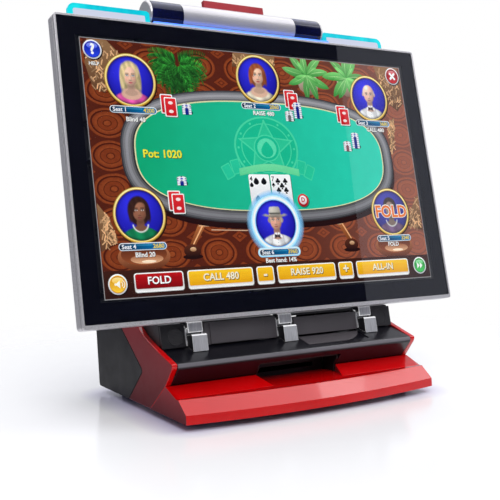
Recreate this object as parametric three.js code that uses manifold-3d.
// Counter-top video poker machine: a tilting touch display on a wedge-shaped base.
// Millimetres, +Z up, +X to the player's right, +Y away from the player.
// Origin: centre of the footprint, on the surface that the machine stands on.
import * as THREE from 'three';
import { mergeVertices } from 'three/addons/utils/BufferGeometryUtils.js';
import Module from 'manifold-3d';

const wasm = await Module();
wasm.setup();

// ---------- driving dimensions ----------
const GAP = 0.3;                       // clearance between neighbouring pieces

const TILT = THREE.MathUtils.degToRad(13.2);   // how far the display leans back at rest
const SCREEN_Y = -11.75;               // centre of the picture, in the machine's frame
const SCREEN_Z = 279.5;

const LCD_W = 473.8;                   // 22 inch 16:10 picture
const LCD_H = 296.1;
const FRAME_W = 530;                   // outside of the display's frame
const FRAME_TOP = 173.2;               // above the centre of the picture
const FRAME_BOTTOM = -177.8;
const FRAME_R = 4;
const FRAME_FRONT = -3.2;              // display depths: 0 is the picture, + is towards the back
const FRONT_RIM_BACK = 1.2;
const REAR_RIM_FRONT = 2.7;
const REAR_RIM_BACK = 14.5;
const RIM_SIDE = 2.5;
const RIM_TOP = 2.5;
const RIM_BOTTOM = 4.5;
const RIM_DEEP = 12;                   // width of the hidden ledge behind the glass
const GLASS = [-3, -1];                // front and back of the glass
const MASK = [-0.7, -0.3];
const MASK_CLEAR_SIDE = 5;             // the black mask stops this far outside the picture
const MASK_CLEAR_END = 2.6;
const LCD_T = 10;
const COVER_BACK = 50;
const COVER_WALL = 3;
const VENT_ROWS = [[84, 88], [72, 76], [-92, -88]];
const VENT_PITCH = 24;
const VENT_HALF = 9;

const TUBE_Y = 40;                     // light bar on top of the display
const TUBE_Z = 202.8;
const TUBE_R = 17.5;
const TUBE_WALL = 2;
const TUBE_HALF = 84.5;                // half length of the silver middle
const WINDOW_END = 127.4;              // outer end of each dark window
const CAP_END = 131.4;
const CAP_R = 3.2;                     // round-over of the end caps
const CAMERA_X = 104;
const FIN_HALF = 45.5;
const FIN_TOP = 230.5;
const WING_IN = 131.5;
const WING_OUT = 235.5;
const WING_TOP = 200.5;
const WING_FOOT = 166.6;
const WING_FRONT = 26;
const WING_T = 5;
const FIN_FRONT = 37;
const FIN_BACK = 43;
const BRACKET_X = 56;                  // the two brackets that carry the light bar

const BASE_HALF = 175;                 // half width over the side panels
const SIDE_T = 7;
const INNER_HALF = BASE_HALF - SIDE_T - GAP;
const BOTTOM_Z = 7.5;                  // underside of the housing
const TOP_Z = 101.5;                   // top of the base
const REAR_BOTTOM_Y = 114.84;           // the back leans out towards its top
const REAR_TOP_Y = 128.09;
const DECK_REAR = [-65.5, 39.3];       // y, z where the front tray meets the wall below the shelf
const DECK_FRONT_Y = -90;
const LEDGE_Z = 30.3;                  // level ledge in front of the sloping deck
const CREASE_Z = 17.3;
const BOW = 14.25;                     // how far the tray's front bulges over the half width
const FRONT_Y = -127.25;               // foremost point of the tray
const NOSE = [-82.5, 65.6];            // shelf edge
const SHELF_REAR = [-38, 75.7];
const RECESS_REAR_HALF = 58.5;
const RECESS_FRONT_HALF = 49.5;
const RECESS_TOP = 54;

const STRAP_PITCH = 124.7;
const STRAP_HALF = 9.6;
const HINGE_Y = 23;                    // hinge axis, in the display's depth and height
const HINGE_Z = -186;
const PIN_R = 2;
const KNUCKLE_R = 5.5;
const NOTCH_HALF = 12.6;
const FASCIA_Y = 14.8;                 // the fascia is parallel to the display
const FASCIA_T = 3;
const SPEAKER_X = 149.5;
const SPEAKER_Z = -193.2;
const SPEAKER_R = 10;
const DOOR_LEFT = 13.4;
const DOOR_RIGHT = 110.5;
const DOOR_TOP = -183.5;
const DOOR_FOOT = -205.5;
const APRON_FRONT_Y = -70.3;

const FAN_X = -95;
const FAN_Z = 56;
const FAN_R = 25;
const INLET_X = 118;
const INLET_Z = 34;
const SWITCH_X = 94;
const CASH_X = 0;
const CASH_HALF_W = 52;
const CASH_LOW = 22;
const CASH_HIGH = 84;
const FOOT_X = 145;
const FOOT_R = 9;

// ---------- materials ----------
const material = (colour, roughness, metalness, extra = {}) =>
  new THREE.MeshStandardMaterial({ color: colour, roughness, metalness, ...extra });

const mats = {
  silver: material(0xb4b2b4, 0.35, 0.9),
  brushed: material(0xa8a8aa, 0.4, 0.9),
  glass: material(0x0c0c14, 0.05, 0, { transparent: true, opacity: 0.35 }),
  mask: material(0x0a0a12, 0.15, 0),
  lcd: material(0x145a3c, 0.4, 0),
  blackPlastic: material(0x2b292c, 0.45, 0),
  glossBlack: material(0x121118, 0.2, 0),
  greyPlastic: material(0x5a575a, 0.5, 0),
  red: material(0xb8060e, 0.2, 0),
  acrylic: material(0x00c8d8, 0.1, 0, { transparent: true, opacity: 0.6 }),
  led: material(0x3a6cff, 0.3, 0),
  smoke: material(0x14142a, 0.1, 0, { transparent: true, opacity: 0.7 }),
  rubber: material(0x161616, 0.9, 0),
  board: material(0x14502c, 0.6, 0),
  steel: material(0x8d9094, 0.4, 0.8),
};

// ---------- geometry helpers ----------
const toSolid = (geometry) => {
  const bare = geometry.clone();
  for (const name of Object.keys(bare.attributes)) {
    if (name !== 'position') bare.deleteAttribute(name);
  }
  const welded = mergeVertices(bare, 1e-4);
  return new wasm.Manifold(new wasm.Mesh({
    numProp: 3,
    vertProperties: new Float32Array(welded.attributes.position.array),
    triVerts: new Uint32Array(welded.index.array),
  }));
};

const toGeometry = (solid) => {
  const mesh = solid.getMesh();
  const geometry = new THREE.BufferGeometry();
  geometry.setAttribute('position', new THREE.BufferAttribute(new Float32Array(mesh.vertProperties), 3));
  geometry.setIndex(new THREE.BufferAttribute(new Uint32Array(mesh.triVerts), 1));
  const flat = geometry.toNonIndexed();
  flat.computeVertexNormals();
  return flat;
};

const cut = (body, ...tools) =>
  toGeometry(tools.reduce((solid, tool) => solid.subtract(toSolid(tool)), toSolid(body)));
const join = (...pieces) =>
  toGeometry(pieces.slice(1).reduce((solid, piece) => solid.add(toSolid(piece)), toSolid(pieces[0])));

const box = (x0, x1, y0, y1, z0, z1) =>
  new THREE.BoxGeometry(x1 - x0, y1 - y0, z1 - z0)
    .translate((x0 + x1) / 2, (y0 + y1) / 2, (z0 + z1) / 2);

// An outline from corners [a, b] or [a, b, radius]; corners with a radius are rounded.
const outline = (corners) => {
  const shape = new THREE.Shape();
  corners.forEach((corner, i) => {
    const here = new THREE.Vector2(corner[0], corner[1]);
    const radius = corner[2] ?? 0;
    if (radius === 0) {
      if (i === 0) shape.moveTo(here.x, here.y);
      else shape.lineTo(here.x, here.y);
      return;
    }
    const before = new THREE.Vector2(...corners.at(i - 1).slice(0, 2));
    const after = new THREE.Vector2(...corners[(i + 1) % corners.length].slice(0, 2));
    const start = before.sub(here).setLength(radius).add(here);
    const end = after.sub(here).setLength(radius).add(here);
    if (i === 0) shape.moveTo(start.x, start.y);
    else shape.lineTo(start.x, start.y);
    shape.quadraticCurveTo(here.x, here.y, end.x, end.y);
  });
  shape.closePath();
  return shape;
};

const CURVE = 4;
const extrude = (shape, depth) =>
  new THREE.ExtrudeGeometry(shape, { depth, bevelEnabled: false, curveSegments: CURVE });

// Prisms of an outline: drawn in Y-Z and run along X, drawn in X-Z and run along Y, or in X-Y along Z.
const alongX = (shape, x0, x1) => {
  const turn = new THREE.Matrix4().set(0, 0, 1, x0, 1, 0, 0, 0, 0, 1, 0, 0, 0, 0, 0, 1);
  return extrude(shape, x1 - x0).applyMatrix4(turn);
};
const alongY = (shape, y0, y1) => {
  const turn = new THREE.Matrix4().set(1, 0, 0, 0, 0, 0, -1, y1, 0, 1, 0, 0, 0, 0, 0, 1);
  return extrude(shape, y1 - y0).applyMatrix4(turn);
};
const alongZ = (shape, z0, z1) => extrude(shape, z1 - z0).translate(0, 0, z0);

const rectangle = (a0, a1, b0, b1, r = 0) => outline([[a0, b0, r], [a1, b0, r], [a1, b1, r], [a0, b1, r]]);
const ring = (outer, inner) => {
  const shape = outer.clone();
  shape.holes.push(inner);
  return shape;
};

const rodX = (radius, x0, x1, y, z, sides = 24) =>
  new THREE.CylinderGeometry(radius, radius, x1 - x0, sides)
    .rotateZ(Math.PI / 2).translate((x0 + x1) / 2, y, z);
const rodY = (radius, y0, y1, x, z, sides = 24) =>
  new THREE.CylinderGeometry(radius, radius, y1 - y0, sides).translate(x, (y0 + y1) / 2, z);
const rodZ = (radius, z0, z1, x, y, sides = 24) =>
  new THREE.CylinderGeometry(radius, radius, z1 - z0, sides)
    .rotateX(Math.PI / 2).translate(x, y, (z0 + z1) / 2);

// A frustum between two rectangles [x half, z low, z high] at two depths.
const frustum = (front, frontY, back, backY) => {
  const corners = ([half, low, high], y) => [
    [-half, y, low], [half, y, low], [half, y, high], [-half, y, high],
  ];
  const points = [...corners(front, frontY), ...corners(back, backY)].flat();
  const faces = [
    0, 1, 2, 0, 2, 3, 4, 6, 5, 4, 7, 6,
    0, 5, 1, 0, 4, 5, 1, 6, 2, 1, 5, 6,
    2, 7, 3, 2, 6, 7, 3, 4, 0, 3, 7, 4,
  ];
  const geometry = new THREE.BufferGeometry();
  geometry.setAttribute('position', new THREE.Float32BufferAttribute(points, 3));
  geometry.setIndex(faces);
  return geometry;
};

// A loft along X: section(x) gives the same number of [y, z] corners at every station, anticlockwise.
const loftX = (stations, section) => {
  const rows = stations.map((x) => section(x));
  const count = rows[0].length;
  const points = rows.flatMap((row, i) => row.map(([y, z]) => [stations[i], y, z])).flat();
  const faces = [];
  for (let i = 0; i < rows.length - 1; i += 1) {
    for (let j = 0; j < count; j += 1) {
      const a = i * count + j;
      const b = i * count + ((j + 1) % count);
      faces.push(a, b, a + count, b, b + count, a + count);
    }
  }
  const caps = THREE.ShapeUtils.triangulateShape(rows[0].map(([y, z]) => new THREE.Vector2(y, z)), []);
  const last = (rows.length - 1) * count;
  for (const [a, b, c] of caps) {
    faces.push(a, c, b, last + a, last + b, last + c);
  }
  const geometry = new THREE.BufferGeometry();
  geometry.setAttribute('position', new THREE.Float32BufferAttribute(points, 3));
  geometry.setIndex(faces);
  return geometry;
};

// ---------- assembly ----------
const machine = new THREE.Group();
const display = new THREE.Group();       // everything that is parallel to the picture
display.position.set(0, SCREEN_Y, SCREEN_Z);
display.rotation.x = -TILT;
machine.add(display);

const add = (parent, name, geometry, look) => {
  const mesh = new THREE.Mesh(geometry, look);
  mesh.name = name;
  parent.add(mesh);
};
const SIDES = [['left', -1], ['right', 1]];
const span = (side, near, far) => (side < 0 ? [-far, -near] : [near, far]);
const bothSides = (build) => SIDES.forEach(([word, side]) => build(word, side));
const steps = (count) => [...Array(count).keys()];

// ---------- display: frame, glass and panel ----------
const frameOutline = (inset = 0) => rectangle(
  -FRAME_W / 2 + inset, FRAME_W / 2 - inset, FRAME_BOTTOM + inset, FRAME_TOP - inset, FRAME_R,
);
const glassOutline = (gap) => rectangle(
  -FRAME_W / 2 + RIM_SIDE + gap, FRAME_W / 2 - RIM_SIDE - gap,
  FRAME_BOTTOM + RIM_BOTTOM + gap, FRAME_TOP - RIM_TOP - gap, 1.5,
);
add(display, 'display_frame',
  alongY(ring(frameOutline(), glassOutline(0)), FRAME_FRONT, FRONT_RIM_BACK), mats.silver);
add(display, 'touch_glass', alongY(glassOutline(GAP), ...GLASS), mats.glass);
const maskHole = rectangle(
  -LCD_W / 2 - MASK_CLEAR_SIDE, LCD_W / 2 + MASK_CLEAR_SIDE,
  -LCD_H / 2 - MASK_CLEAR_END, LCD_H / 2 + MASK_CLEAR_END,
);
add(display, 'bezel_mask', alongY(ring(glassOutline(GAP), maskHole), ...MASK), mats.mask);
add(display, 'lcd_panel', box(-247, 247, 0, LCD_T, -160, 158), mats.lcd);
const gasketHole = rectangle(
  -FRAME_W / 2 + RIM_DEEP, FRAME_W / 2 - RIM_DEEP, FRAME_BOTTOM + RIM_DEEP, FRAME_TOP - RIM_DEEP,
);
const gasketRing = ring(frameOutline(1.4), gasketHole);
add(display, 'frame_gasket',
  alongY(gasketRing, FRONT_RIM_BACK + GAP, REAR_RIM_FRONT - GAP), mats.rubber);
add(display, 'display_bezel_rear',
  alongY(ring(frameOutline(), gasketHole), REAR_RIM_FRONT, REAR_RIM_BACK), mats.silver);

// ---------- display: rear cover with vents, and the board inside it ----------
const coverShell = () => {
  const front = [250, -167.3, 162.7];
  const back = [205, -125, 120];
  const shrink = ([half, low, high]) => [half - COVER_WALL, low + COVER_WALL, high - COVER_WALL];
  const outer = frustum(front, REAR_RIM_BACK + GAP, back, COVER_BACK);
  const inner = frustum(shrink(front), REAR_RIM_BACK, shrink(back), COVER_BACK - COVER_WALL);
  const vents = steps(9).flatMap((i) => {
    const x = (i - 4) * VENT_PITCH;
    return VENT_ROWS.map(([low, high]) =>
      box(x - VENT_HALF, x + VENT_HALF, COVER_BACK - 6, COVER_BACK + 6, low, high));
  });
  return cut(outer, inner, ...vents);
};
add(display, 'display_rear_cover', coverShell(), mats.blackPlastic);
const displayBoard = join(
  box(-90, 90, 24, 25.6, -60, 60),
  box(-40, -5, 25, 32, -20, 15),
  box(20, 70, 25, 38, -30, 10),
  box(-80, -60, 25, 36, 25, 50),
);
add(display, 'display_board', displayBoard, mats.board);

// ---------- light bar on top of the display ----------
const sleeve = (x0, x1, outer, inner) =>
  cut(rodX(outer, x0, x1, TUBE_Y, TUBE_Z, 32), rodX(inner, x0 - 1, x1 + 1, TUBE_Y, TUBE_Z, 32));
add(display, 'light_bar_tube', sleeve(-TUBE_HALF, TUBE_HALF, TUBE_R, TUBE_R - TUBE_WALL), mats.silver);

bothSides((word, side) => {
  const [w0, w1] = span(side, TUBE_HALF + GAP, WINDOW_END);
  add(display, `light_bar_window_${word}`, sleeve(w0, w1, TUBE_R, TUBE_R - TUBE_WALL), mats.smoke);

  const capHigh = CAP_END - WINDOW_END - GAP;
  const roundOver = steps(5).map((i) => {
    const turn = (i / 4) * (Math.PI / 2);
    return [TUBE_R - CAP_R * (1 - Math.cos(turn)), capHigh - CAP_R * (1 - Math.sin(turn))];
  });
  const capProfile = [[0, 0], [TUBE_R, 0], ...roundOver, [0, capHigh]]
    .map(([r, h]) => new THREE.Vector2(r, h));
  const cap = new THREE.LatheGeometry(capProfile, 32)
    .rotateZ(-side * Math.PI / 2)
    .translate(side * (WINDOW_END + GAP), TUBE_Y, TUBE_Z);
  add(display, `light_bar_cap_${word}`, cap, mats.silver);

  const x = side * CAMERA_X;
  const cameraZ = TUBE_Z - 0.5;
  const camera = join(
    cut(rodY(8.8, 28, 50, x, cameraZ), rodY(5.5, 26, 32, x, cameraZ)),
    new THREE.SphereGeometry(5, 16, 10).scale(1, 0.6, 1).translate(x, 32.5, cameraZ),
  );
  add(display, `camera_module_${word}`, camera, mats.glossBlack);

  const [a0, a1] = span(side, WING_IN, WING_OUT);
  const corner = (outer) => ((side < 0) === outer ? 9 : 4);
  const wing = outline([
    [a0, WING_FOOT], [a1, WING_FOOT], [a1, WING_TOP, corner(false)], [a0, WING_TOP, corner(true)],
  ]);
  add(display, `acrylic_wing_${word}`, alongY(wing, WING_FRONT, WING_FRONT + WING_T), mats.acrylic);
});

const finFoot = TUBE_Z + TUBE_R + GAP;
add(display, 'top_fin', box(-FIN_HALF, FIN_HALF, FIN_FRONT, FIN_BACK, finFoot, FIN_TOP), mats.red);
const CHANNEL_FOOT = 163.4;
add(display, 'light_pipe', box(-WING_IN, WING_IN, 15.2, 19.7, CHANNEL_FOOT, 184), mats.led);
const wingSlot = box(-240, 240, WING_FRONT - GAP, WING_FRONT + WING_T + GAP, WING_FOOT - GAP, 176);
const bracket = (x) => box(x - 6, x + 6, 36, 60, 158, 196);
add(display, 'led_channel', cut(
  join(cut(box(-238, 238, 20, 37, CHANNEL_FOOT, 174), wingSlot), bracket(-BRACKET_X), bracket(BRACKET_X)),
  rodX(TUBE_R + GAP, -70, 70, TUBE_Y, TUBE_Z, 32),
), mats.blackPlastic);

// ---------- hinges: three straps on one shaft ----------
[-1, 0, 1].forEach((place, i) => {
  const x = place * STRAP_PITCH;
  const number = i + 1;
  const bore = rodX(PIN_R + GAP, x - 20, x + 20, HINGE_Y, HINGE_Z, 16);
  const upper = join(
    alongX(outline([
      [12.4, -183.4], [13.8, -184.8], [HINGE_Y, -184.8], [HINGE_Y + 3, -168], [14.8, -168],
      [14.8, -178.2], [12.4, -178.2],
    ]), x - STRAP_HALF, x + STRAP_HALF),
    rodX(KNUCKLE_R, x - STRAP_HALF, x + STRAP_HALF, HINGE_Y, HINGE_Z, 24),
  );
  add(display, `hinge_strap_upper_${number}`, cut(upper, bore), mats.brushed);

  const ear = (x0, x1) => [
    rodX(KNUCKLE_R, x0, x1, HINGE_Y, HINGE_Z, 24),
    box(x0, x1, HINGE_Y - KNUCKLE_R, HINGE_Y + KNUCKLE_R, -200, HINGE_Z),
  ];
  const earIn = STRAP_HALF + GAP;
  const earOut = NOTCH_HALF - GAP;
  const lower = join(
    alongX(outline([
      [4.1, -194.2], [5.6, -192.7], [18, -192.7], [18, -204], [14.4, -207.2], [4.1, -212],
    ]), x - STRAP_HALF, x + STRAP_HALF),
    box(x - earOut, x + earOut, HINGE_Y - KNUCKLE_R, HINGE_Y + KNUCKLE_R + 4, -204, -198),
    ...ear(x - earOut, x - earIn),
    ...ear(x + earIn, x + earOut),
  );
  add(display, `hinge_strap_lower_${number}`, cut(lower, bore), mats.brushed);
});
const shaftEnd = STRAP_PITCH + NOTCH_HALF - GAP;
add(display, 'hinge_shaft', rodX(PIN_R, -shaftEnd, shaftEnd, HINGE_Y, HINGE_Z, 16), mats.steel);

// ---------- base: fascia behind the shelf, with speakers and a service door ----------
const FASCIA_TOP = -180.3;
const readerEnds = [-STRAP_PITCH + NOTCH_HALF + GAP, -NOTCH_HALF - GAP];
add(display, 'reader_cover', join(
  box(...readerEnds, FASCIA_Y, FASCIA_Y + FASCIA_T, DOOR_FOOT, FASCIA_TOP),
  box(-105, -31, FASCIA_Y - 1.2, FASCIA_Y + 1, DOOR_FOOT + 0.6, FASCIA_TOP - 0.3),
), mats.greyPlastic);
add(display, 'service_door',
  join(
    box(DOOR_LEFT, DOOR_RIGHT, FASCIA_Y, FASCIA_Y + 2.2, DOOR_FOOT, DOOR_TOP),
    box(DOOR_LEFT + 8, DOOR_RIGHT - 4, FASCIA_Y + 2, FASCIA_Y + 4, DOOR_FOOT + 3, DOOR_TOP - 3),
  ), mats.greyPlastic);

bothSides((word, side) => {
  const x = side * SPEAKER_X;
  const [p0, p1] = span(side, STRAP_PITCH + NOTCH_HALF + GAP, INNER_HALF);
  const plate = box(p0, p1, FASCIA_Y, FASCIA_Y + FASCIA_T, DOOR_FOOT, FASCIA_TOP);
  add(display, `speaker_panel_${word}`,
    cut(plate, rodY(SPEAKER_R + GAP, 0, 40, x, SPEAKER_Z)), mats.blackPlastic);
  const grille = rodY(SPEAKER_R, FASCIA_Y + 0.2, FASCIA_Y + 1.4, x, SPEAKER_Z);
  add(display, `speaker_grille_${word}`, grille, mats.blackPlastic);
  const driver = join(
    cut(rodY(SPEAKER_R + 0.8, FASCIA_Y + FASCIA_T + GAP, 24, x, SPEAKER_Z),
      rodY(SPEAKER_R - 1, 14, 21, x, SPEAKER_Z)),
    rodY(7, 23, 33, x, SPEAKER_Z),
  );
  add(display, `speaker_driver_${word}`, driver, mats.blackPlastic);
});

// ---------- base: side panels and their coloured trims ----------
const frontOfTrim = [
  [11, TOP_Z], [2.8, 95.5, 3], [-12, 87, 3], [-30, 80.6, 5],
  [-62, 71.2, 5], [-81.4, 65.6, 2.4], [-80.6, 60.4, 2.4],
];
const panelTip = [-9, 47];
const panelTopY = 67;
const panelFootY = 29;
const seamFootY = -29;
const seam = 2 * GAP;
bothSides((word, side) => {
  const [x0, x1] = span(side, BASE_HALF - SIDE_T, BASE_HALF);
  const panel = outline([
    [panelFootY, BOTTOM_Z], [REAR_BOTTOM_Y, BOTTOM_Z, 4], [REAR_TOP_Y, TOP_Z, 6], [panelTopY, TOP_Z],
    [panelTip[0], panelTip[1], 6],
  ]);
  add(machine, `side_panel_${word}`, alongX(panel, x0, x1), mats.blackPlastic);
  const trim = outline([
    [panelTopY - seam, TOP_Z], ...frontOfTrim, [DECK_REAR[0] + GAP, DECK_REAR[1] + GAP],
    [seamFootY + GAP, BOTTOM_Z], [panelFootY - seam, BOTTOM_Z],
    [panelTip[0] - seam, panelTip[1], 6],
  ]);
  add(machine, `side_trim_${word}`, alongX(trim, x0, x1), mats.red);
});

// ---------- base: front tray, one moulding with a sloping deck and a bulging front ----------
const TRAY_WALL = 3.4;
const bulge = (x) => BOW * (x / BASE_HALF) ** 2;
const footY = (x) => FRONT_Y + bulge(x);
const creaseY = (x) => footY(x) + 1;
const ledgeEdge = (x) => FRONT_Y + 21 + bulge(x) * 0.8;
const lipStations = steps(25).map((i) => (i / 12 - 1) * BASE_HALF);
const lipSection = (x) => [
  [DECK_FRONT_Y + 2, LEDGE_Z - TRAY_WALL], [DECK_FRONT_Y + 2, LEDGE_Z],
  [ledgeEdge(x), LEDGE_Z], [creaseY(x), CREASE_Z],
  [footY(x), BOTTOM_Z], [footY(x) + TRAY_WALL, BOTTOM_Z],
  [creaseY(x) + TRAY_WALL, CREASE_Z - 1], [ledgeEdge(x) + 1.6, LEDGE_Z - TRAY_WALL],
];
const deckWedge = alongX(outline([
  [DECK_REAR[0], LEDGE_Z - 1], DECK_REAR,
  [DECK_FRONT_Y, LEDGE_Z + 0.1], [DECK_FRONT_Y, LEDGE_Z - 1],
]), -INNER_HALF - 1, INNER_HALF + 1);
const recessPlan = outline([
  [-RECESS_FRONT_HALF, DECK_FRONT_Y - 1], [RECESS_FRONT_HALF, DECK_FRONT_Y - 1],
  [RECESS_REAR_HALF, DECK_REAR[0] + 1], [-RECESS_REAR_HALF, DECK_REAR[0] + 1],
]);
const cheekOutline = outline([
  [seamFootY, BOTTOM_Z], DECK_REAR, [DECK_FRONT_Y, LEDGE_Z], [ledgeEdge(BASE_HALF), LEDGE_Z],
  [creaseY(BASE_HALF), CREASE_Z], [footY(BASE_HALF), BOTTOM_Z],
]);
const cheekIn = BASE_HALF - SIDE_T;
const trayFloor = box(-INNER_HALF, INNER_HALF, DECK_FRONT_Y + 1, -44, LEDGE_Z - TRAY_WALL, LEDGE_Z);
add(machine, 'front_tray', join(
  cut(join(loftX(lipStations, lipSection), deckWedge), alongZ(recessPlan, LEDGE_Z, 60)),
  trayFloor,
  alongX(cheekOutline, -BASE_HALF, -cheekIn),
  alongX(cheekOutline, cheekIn, BASE_HALF),
), mats.red);

// ---------- base: shelf, with the wall below its edge and the opening of the note recess ----------
const shelfSection = outline([
  [SHELF_REAR[0], SHELF_REAR[1]], [NOSE[0] + 1.5, NOSE[1], 2.6], [NOSE[0] + 1, NOSE[1] - 5.4, 2.6],
  [DECK_REAR[0] + 0.6, DECK_REAR[1] + 0.6], [DECK_REAR[0] + 4, DECK_REAR[1] + 0.6],
  [NOSE[0] + 6, NOSE[1] - 5], [NOSE[0] + 7, NOSE[1] - 1.8], [SHELF_REAR[0], SHELF_REAR[1] - 3],
]);
const shelfSlope = Math.atan2(SHELF_REAR[1] - NOSE[1], SHELF_REAR[0] - NOSE[0] - 1.5);
const ontoShelf = (geometry) => geometry
  .translate(0, -SHELF_REAR[0], 0).rotateX(shelfSlope).translate(0, SHELF_REAR[0], SHELF_REAR[1]);
const APRON_LEFT = 16;
const APRON_RIGHT = 109;
const APRON_BEND = 74;                 // where the apron's front edge starts to curve back
const APRON_REAR_Y = -46;
add(machine, 'shelf', cut(
  alongX(shelfSection, -INNER_HALF, INNER_HALF),
  box(-RECESS_REAR_HALF, RECESS_REAR_HALF, -100, -40, 20, RECESS_TOP),
  ontoShelf(box(APRON_LEFT, APRON_RIGHT, APRON_FRONT_Y, -30, -1.5, 8)),
), mats.glossBlack);

const APRON_CUT_Y = APRON_FRONT_Y + GAP;
const apronPlan = new THREE.Shape();
apronPlan.moveTo(APRON_LEFT + GAP, APRON_CUT_Y);
apronPlan.lineTo(APRON_BEND, APRON_CUT_Y);
apronPlan.quadraticCurveTo(96, APRON_CUT_Y + 4, APRON_RIGHT - GAP, APRON_REAR_Y - 1);
apronPlan.lineTo(APRON_RIGHT - GAP, APRON_REAR_Y);
apronPlan.lineTo(APRON_LEFT + GAP, APRON_REAR_Y);
apronPlan.closePath();
add(machine, 'card_apron', ontoShelf(alongZ(apronPlan, -1.2, 0)), mats.greyPlastic);

// ---------- base: housing behind the fascia ----------
const housingOutline = outline([
  [-34.4, TOP_Z], [-39.6, 79], [-36, 79], [-36, 60],
  [REAR_TOP_Y - 9, 60], [REAR_TOP_Y - 4.6, TOP_Z],
]);
const hingeSlots = [-1, 0, 1].map((place) => {
  const x = place * STRAP_PITCH;
  return box(x - NOTCH_HALF - 1, x + NOTCH_HALF + 1, -60, -8, 60, 130);
});
add(machine, 'upper_housing', cut(
  alongX(housingOutline, -INNER_HALF, INNER_HALF),
  box(-INNER_HALF + 3, INNER_HALF - 3, -60, 140, 50, TOP_Z - 3),
  ...hingeSlots,
), mats.blackPlastic);
const plateHalf = INNER_HALF - 4;
add(machine, 'base_plate',
  box(-plateHalf, plateHalf, -106, REAR_BOTTOM_Y - 5, BOTTOM_Z, BOTTOM_Z + 2), mats.steel);

// ---------- rear panel with vents, inlet, switch, fan and cash door ----------
const rearLean = Math.atan2(REAR_TOP_Y - REAR_BOTTOM_Y, TOP_Z - BOTTOM_Z);
const rear = new THREE.Group();              // y: 0 is the panel's outer face, z: up along it
rear.position.set(0, REAR_BOTTOM_Y - 0.6, BOTTOM_Z);
rear.rotation.x = -rearLean;
machine.add(rear);
const REAR_T = 2.5;
const REAR_HIGH = 92;
const lockX = CASH_X + CASH_HALF_W - 12;
const lockZ = (CASH_LOW + CASH_HIGH) / 2;
const rearSlot = (x0, x1, z, half) => box(x0, x1, -9, 9, z - half, z + half);
const fanSlots = [-3, -2, -1, 0, 1, 2, 3].map((i) => {
  const reach = Math.sqrt(FAN_R ** 2 - (i * 7) ** 2) - 1;
  return rearSlot(FAN_X - reach, FAN_X + reach, FAN_Z + i * 7, 2);
});
const ventSlots = steps(6).map((i) => rearSlot(78, 134, 59.2 + i * 5, 1.2));
add(rear, 'rear_panel', cut(
  box(-INNER_HALF, INNER_HALF, -REAR_T, 0, 2.4, REAR_HIGH),
  rearSlot(SWITCH_X - 7, INLET_X + 14, INLET_Z, 11),
  rearSlot(CASH_X - CASH_HALF_W, CASH_X + CASH_HALF_W, lockZ, (CASH_HIGH - CASH_LOW) / 2),
  ...fanSlots,
  ...ventSlots,
), mats.blackPlastic);

const inlet = cut(
  box(INLET_X - 13.7, INLET_X + 13.7, -22, -0.1, INLET_Z - 10.7, INLET_Z + 10.7),
  box(INLET_X - 12, INLET_X + 12, -17, 2, INLET_Z - 8, INLET_Z + 8),
);
const contact = (x, low) => box(x - 1, x + 1, -18, -9, INLET_Z + low, INLET_Z + low + 4);
const switchFrame = cut(
  box(SWITCH_X - 6.7, INLET_X - 12.5, -16, -0.1, INLET_Z - 10.7, INLET_Z + 10.7),
  box(SWITCH_X - 5.2, SWITCH_X + 5.2, -9, 2, INLET_Z - 9.2, INLET_Z + 9.2),
);
add(rear, 'power_inlet', join(
  inlet, switchFrame, contact(INLET_X - 7, -4), contact(INLET_X, 1), contact(INLET_X + 7, -4),
), mats.glossBlack);
const ROCKER_TURN = THREE.MathUtils.degToRad(7);
const rockerOutline = outline([
  [-4.6, -6], [0.2, -8.4], [1.2, 0], [0.2, 8.4], [-4.6, 6],
]);
const rocker = alongX(rockerOutline, SWITCH_X - 4.9, SWITCH_X + 4.9)
  .translate(0, 3, 0).rotateX(ROCKER_TURN).translate(0, -3, INLET_Z);
add(rear, 'power_switch_rocker', rocker, mats.glossBlack);

const doorGap = 0.5;
const doorHalf = CASH_HALF_W - doorGap;
add(rear, 'cash_door', cut(
  box(CASH_X - doorHalf, CASH_X + doorHalf, -REAR_T, 0, CASH_LOW + doorGap, CASH_HIGH - doorGap),
  rodY(6.3, -9, 9, lockX, lockZ),
), mats.blackPlastic);
const lockBarrel = join(
  cut(rodY(6, -14, 0, lockX, lockZ), box(lockX - 0.9, lockX + 0.9, -3, 3, lockZ - 3.4, lockZ + 3.4)),
  box(lockX - 4, lockX + 4, -15.5, -13.5, lockZ - 4, lockZ + 16),
);
add(rear, 'cash_door_lock', lockBarrel, mats.steel);

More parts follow.
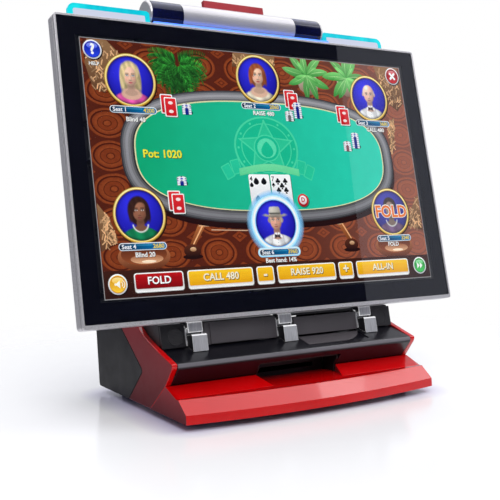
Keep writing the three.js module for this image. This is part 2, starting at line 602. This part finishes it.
const FAN_FRONT = -REAR_T - GAP;
const FAN_DEPTH = 15;
const fanBox = (halfX, halfZ, y0, y1) =>
  box(FAN_X - halfX, FAN_X + halfX, y0, y1, FAN_Z - halfZ, FAN_Z + halfZ);
const fanInner = FAN_FRONT - FAN_DEPTH;
add(rear, 'fan_housing', join(
  cut(fanBox(29, 29, fanInner, FAN_FRONT), rodY(FAN_R + 1, fanInner - 5, FAN_FRONT + 2, FAN_X, FAN_Z, 32)),
  fanBox(FAN_R + 2, 2, fanInner, fanInner + 2),
  fanBox(2, FAN_R + 2, fanInner, fanInner + 2),
), mats.blackPlastic);
const BLADES = 7;
const blade = (angle) => new THREE.BoxGeometry(17, 1, 9)
  .rotateX(0.6).translate(14.5, 0, 0)
  .rotateY(angle).translate(FAN_X, FAN_FRONT - 7, FAN_Z);
add(rear, 'fan_rotor', join(
  rodY(8.5, FAN_FRONT - 12, FAN_FRONT - 2, FAN_X, FAN_Z),
  ...steps(BLADES).map((i) => blade((i * Math.PI * 2) / BLADES)),
), mats.blackPlastic);

// ---------- inside the base ----------
add(machine, 'note_chute', cut(
  box(-RECESS_REAR_HALF + GAP, RECESS_REAR_HALF - GAP, -71, -43, LEDGE_Z + GAP, RECESS_TOP - GAP),
  box(-RECESS_REAR_HALF + 2.3, RECESS_REAR_HALF - 2.3, -80, -40, LEDGE_Z - 1, RECESS_TOP - 2.3),
  alongX(outline([
    [-90, 20], [DECK_REAR[0] + 0.4, 20], [DECK_REAR[0] + 0.4, DECK_REAR[1] + 0.6],
    [NOSE[0] + 1.4, NOSE[1] - 5], [-90, 70],
  ]), -70, 70),
), mats.glossBlack);
add(machine, 'note_validator',
  cut(box(-55, 55, -42.6, 20, 20, 58), box(-41, 41, -50, -8, 36, 41)), mats.glossBlack);
add(machine, 'note_stacker', box(-50, 50, 20.4, 98, 22, 66), mats.steel);
add(machine, 'main_board', join(
  box(66, 160, -36, 68, 14, 15.6),
  box(84, 124, -10, 30, 15, 30),
  box(70, 78, 40, 60, 15, 25),
  box(132, 152, -30, -12, 15, 22),
), mats.board);
add(machine, 'power_supply', box(-158, -66, -36, 62, 13, 50), mats.steel);

// ---------- feet ----------
for (const [word, y] of [['front', -84], ['rear', 92]]) {
  bothSides((sideWord, side) => {
    add(machine, `foot_${word}_${sideWord}`,
      rodZ(FOOT_R, 0, BOTTOM_Z - GAP, side * FOOT_X, y), mats.rubber);
  });
}

export default machine;
